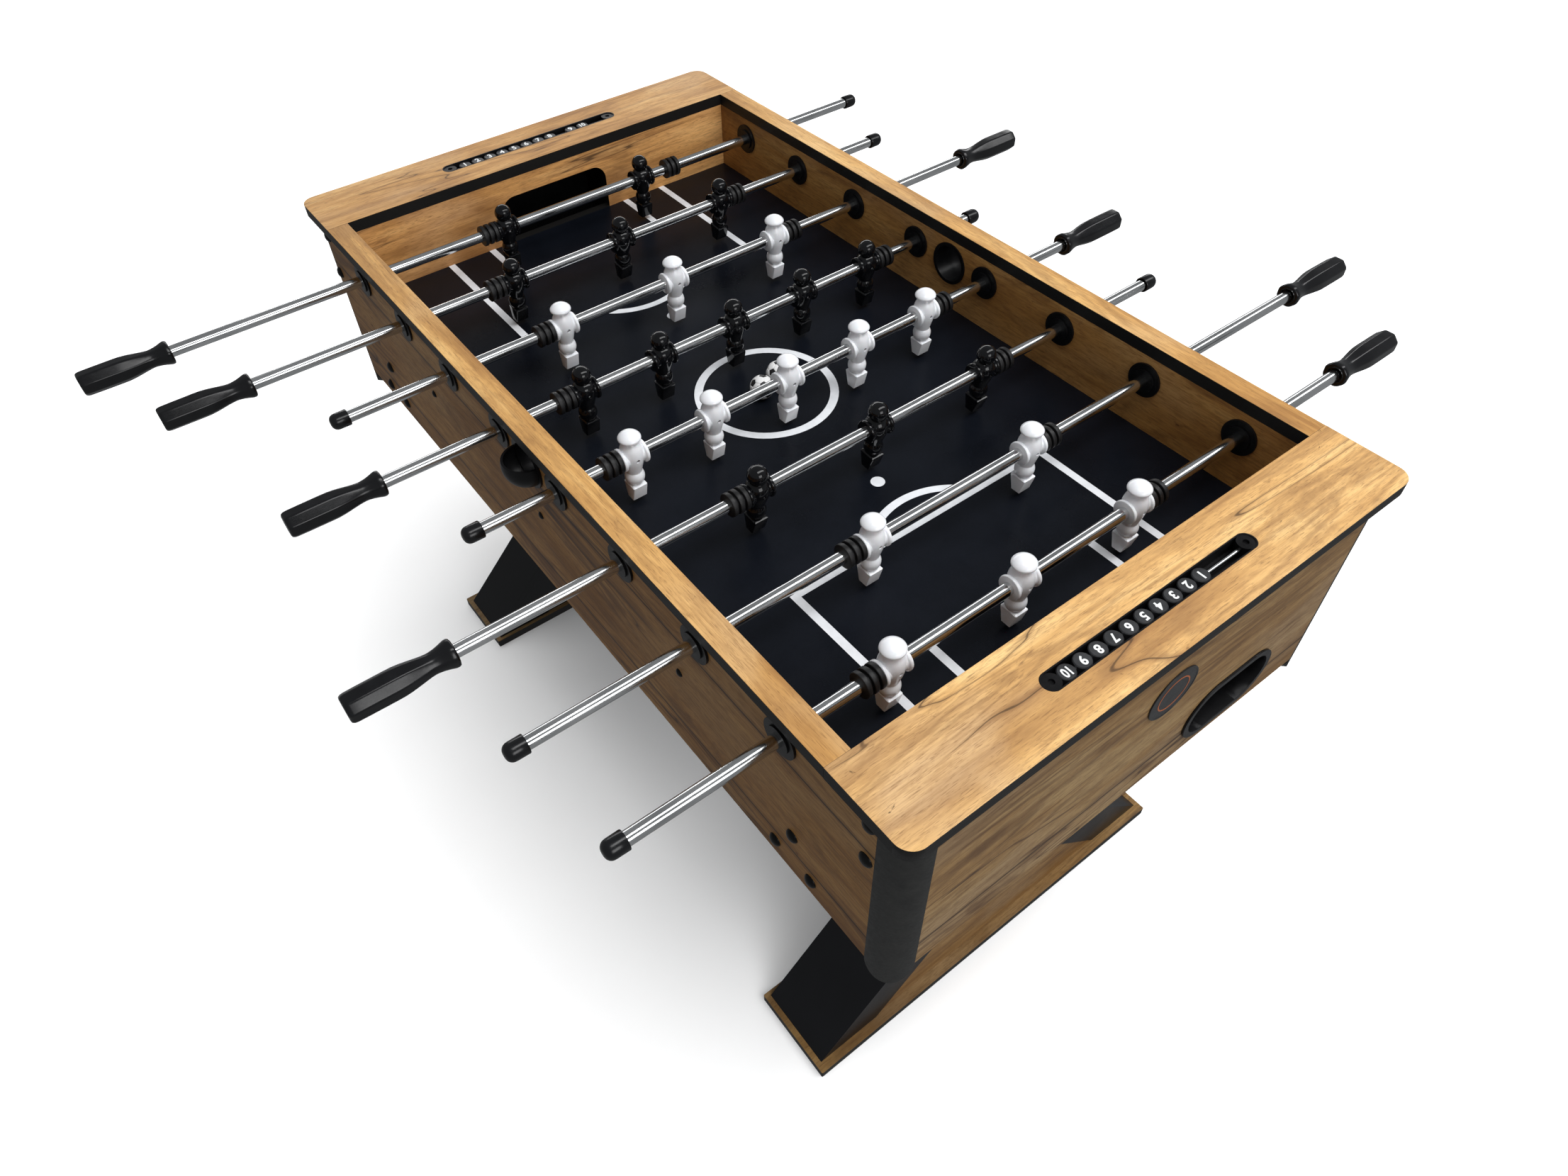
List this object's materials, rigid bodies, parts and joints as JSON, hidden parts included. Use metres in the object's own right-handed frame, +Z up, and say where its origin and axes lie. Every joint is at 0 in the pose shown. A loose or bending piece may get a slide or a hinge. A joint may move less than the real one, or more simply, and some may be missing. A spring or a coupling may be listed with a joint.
{
  "type": "foosball table",
  "caption": "Free-standing table football game with a wood-grain cabinet, crossed legs, sliding and turning player rods, bead scorers and ball returns.",
  "frame": {"origin": "on the floor under the middle of the table", "axes": "+X along the table towards the end with the near scorer, +Y along the rods towards the rear side, +Z up"},
  "size_m": [1.394, 1.534, 0.87],
  "materials": {
    "oak_laminate": "satin wood-grain laminate",
    "black_laminate": "satin black laminate",
    "field_laminate": "satin printed board",
    "corner_plastic": "satin",
    "black_plastic": "moulded",
    "chromed_tube": "polished",
    "white_figure": "gloss",
    "black_figure": "gloss",
    "grip_rubber": "satin",
    "bumper_rubber": "ribbed",
    "ball_plastic": "white with black panels",
    "black_bolt": "black",
    "bead_plastic": "moulded, numbered"
  },
  "bodies": {
    "cabinet": {"side_panel_front": "oak_laminate", "side_panel_rear": "oak_laminate", "end_panel_near": "oak_laminate", "end_panel_far": "oak_laminate", "goal_wall_near": "oak_laminate", "goal_wall_far": "oak_laminate", "top_rail_front": "oak_laminate", "top_rail_rear": "oak_laminate", "top_board_near": "oak_laminate", "top_board_far": "oak_laminate", "leg_bases": "oak_laminate", "leg_infills": "oak_laminate", "playfield": "field_laminate", "corner_posts": "corner_plastic", "rod_bearings": "black_plastic", "serve_cups": "black_plastic", "goal_pockets": "black_plastic", "return_rims": "black_plastic", "score_trays": "black_plastic", "score_rods": "chromed_tube", "leg_frame_near": "black_laminate", "leg_frame_far": "black_laminate", "panel_bolts": "black_bolt"},
    "row1_slider": {"row1_bumpers": "bumper_rubber"},
    "row1_players": {"row1_rod": "chromed_tube", "row1_figures": "black_figure", "row1_grips": "grip_rubber"},
    "row2_slider": {"row2_bumpers": "bumper_rubber"},
    "row2_players": {"row2_rod": "chromed_tube", "row2_figures": "black_figure", "row2_grips": "grip_rubber"},
    "row3_slider": {"row3_bumpers": "bumper_rubber"},
    "row3_players": {"row3_rod": "chromed_tube", "row3_figures": "white_figure", "row3_grips": "grip_rubber"},
    "row4_slider": {"row4_bumpers": "bumper_rubber"},
    "row4_players": {"row4_rod": "chromed_tube", "row4_figures": "black_figure", "row4_grips": "grip_rubber"},
    "row5_slider": {"row5_bumpers": "bumper_rubber"},
    "row5_players": {"row5_rod": "chromed_tube", "row5_figures": "white_figure", "row5_grips": "grip_rubber"},
    "row6_slider": {"row6_bumpers": "bumper_rubber"},
    "row6_players": {"row6_rod": "chromed_tube", "row6_figures": "black_figure", "row6_grips": "grip_rubber"},
    "row7_slider": {"row7_bumpers": "bumper_rubber"},
    "row7_players": {"row7_rod": "chromed_tube", "row7_figures": "white_figure", "row7_grips": "grip_rubber"},
    "row8_slider": {"row8_bumpers": "bumper_rubber"},
    "row8_players": {"row8_rod": "chromed_tube", "row8_figures": "white_figure", "row8_grips": "grip_rubber"},
    "near_beads": {"beads_near": "bead_plastic"},
    "far_beads_low": {"beads_far_low": "bead_plastic"},
    "far_beads_high": {"beads_far_high": "bead_plastic"},
    "ball_one": {"ball_a": "ball_plastic"},
    "ball_two": {"ball_b": "ball_plastic"}
  },
  "joints": [
    {"name": "row1_slide", "type": "slide", "parent": "cabinet", "child": "row1_slider", "axis": [0, 1, 0], "range_m": [-0.1669, 0.1439]},
    {"name": "row1_spin", "type": "hinge", "parent": "row1_slider", "child": "row1_players", "pos_m": [-0.50925, 0, 0.818], "axis": [0, 1, 0], "continuous": true},
    {"name": "row2_slide", "type": "slide", "parent": "cabinet", "child": "row2_slider", "axis": [0, 1, 0], "range_m": [-0.1039, 0.1139]},
    {"name": "row2_spin", "type": "hinge", "parent": "row2_slider", "child": "row2_players", "pos_m": [-0.36375, 0, 0.818], "axis": [0, 1, 0], "continuous": true},
    {"name": "row3_slide", "type": "slide", "parent": "cabinet", "child": "row3_slider", "axis": [0, 1, 0], "range_m": [-0.1049, 0.1129]},
    {"name": "row3_spin", "type": "hinge", "parent": "row3_slider", "child": "row3_players", "pos_m": [-0.21825, 0, 0.818], "axis": [0, 1, 0], "continuous": true},
    {"name": "row4_slide", "type": "slide", "parent": "cabinet", "child": "row4_slider", "axis": [0, 1, 0], "range_m": [-0.0529, 0.0529]},
    {"name": "row4_spin", "type": "hinge", "parent": "row4_slider", "child": "row4_players", "pos_m": [-0.07275, 0, 0.818], "axis": [0, 1, 0], "continuous": true},
    {"name": "row5_slide", "type": "slide", "parent": "cabinet", "child": "row5_slider", "axis": [0, 1, 0], "range_m": [-0.0349, 0.0709]},
    {"name": "row5_spin", "type": "hinge", "parent": "row5_slider", "child": "row5_players", "pos_m": [0.07275, 0, 0.818], "axis": [0, 1, 0], "continuous": true},
    {"name": "row6_slide", "type": "slide", "parent": "cabinet", "child": "row6_slider", "axis": [0, 1, 0], "range_m": [-0.1179, 0.0999]},
    {"name": "row6_spin", "type": "hinge", "parent": "row6_slider", "child": "row6_players", "pos_m": [0.21825, 0, 0.818], "axis": [0, 1, 0], "continuous": true},
    {"name": "row7_slide", "type": "slide", "parent": "cabinet", "child": "row7_slider", "axis": [0, 1, 0], "range_m": [-0.1709, 0.1669]},
    {"name": "row7_spin", "type": "hinge", "parent": "row7_slider", "child": "row7_players", "pos_m": [0.36375, 0, 0.818], "axis": [0, 1, 0], "continuous": true},
    {"name": "row8_slide", "type": "slide", "parent": "cabinet", "child": "row8_slider", "axis": [0, 1, 0], "range_m": [-0.0709, 0.1469]},
    {"name": "row8_spin", "type": "hinge", "parent": "row8_slider", "child": "row8_players", "pos_m": [0.50925, 0, 0.818], "axis": [0, 1, 0], "continuous": true},
    {"name": "near_score_slide", "type": "slide", "parent": "cabinet", "child": "near_beads", "axis": [0, 1, 0], "range_m": [0, 0.0524]},
    {"name": "far_score_low_slide", "type": "slide", "parent": "cabinet", "child": "far_beads_low", "axis": [0, 1, 0], "range_m": [-0.0055, 0.0093]},
    {"name": "far_score_high_slide", "type": "slide", "parent": "cabinet", "child": "far_beads_high", "axis": [0, 1, 0], "range_m": [-0.0093, 0.0286]},
    {"name": "ball_one_lift", "type": "slide", "parent": "cabinet", "child": "ball_one", "axis": [0, 0, 1], "range_m": [0, 0.2]},
    {"name": "ball_two_lift", "type": "slide", "parent": "cabinet", "child": "ball_two", "axis": [0, 0, 1], "range_m": [0, 0.2]}
  ]
}
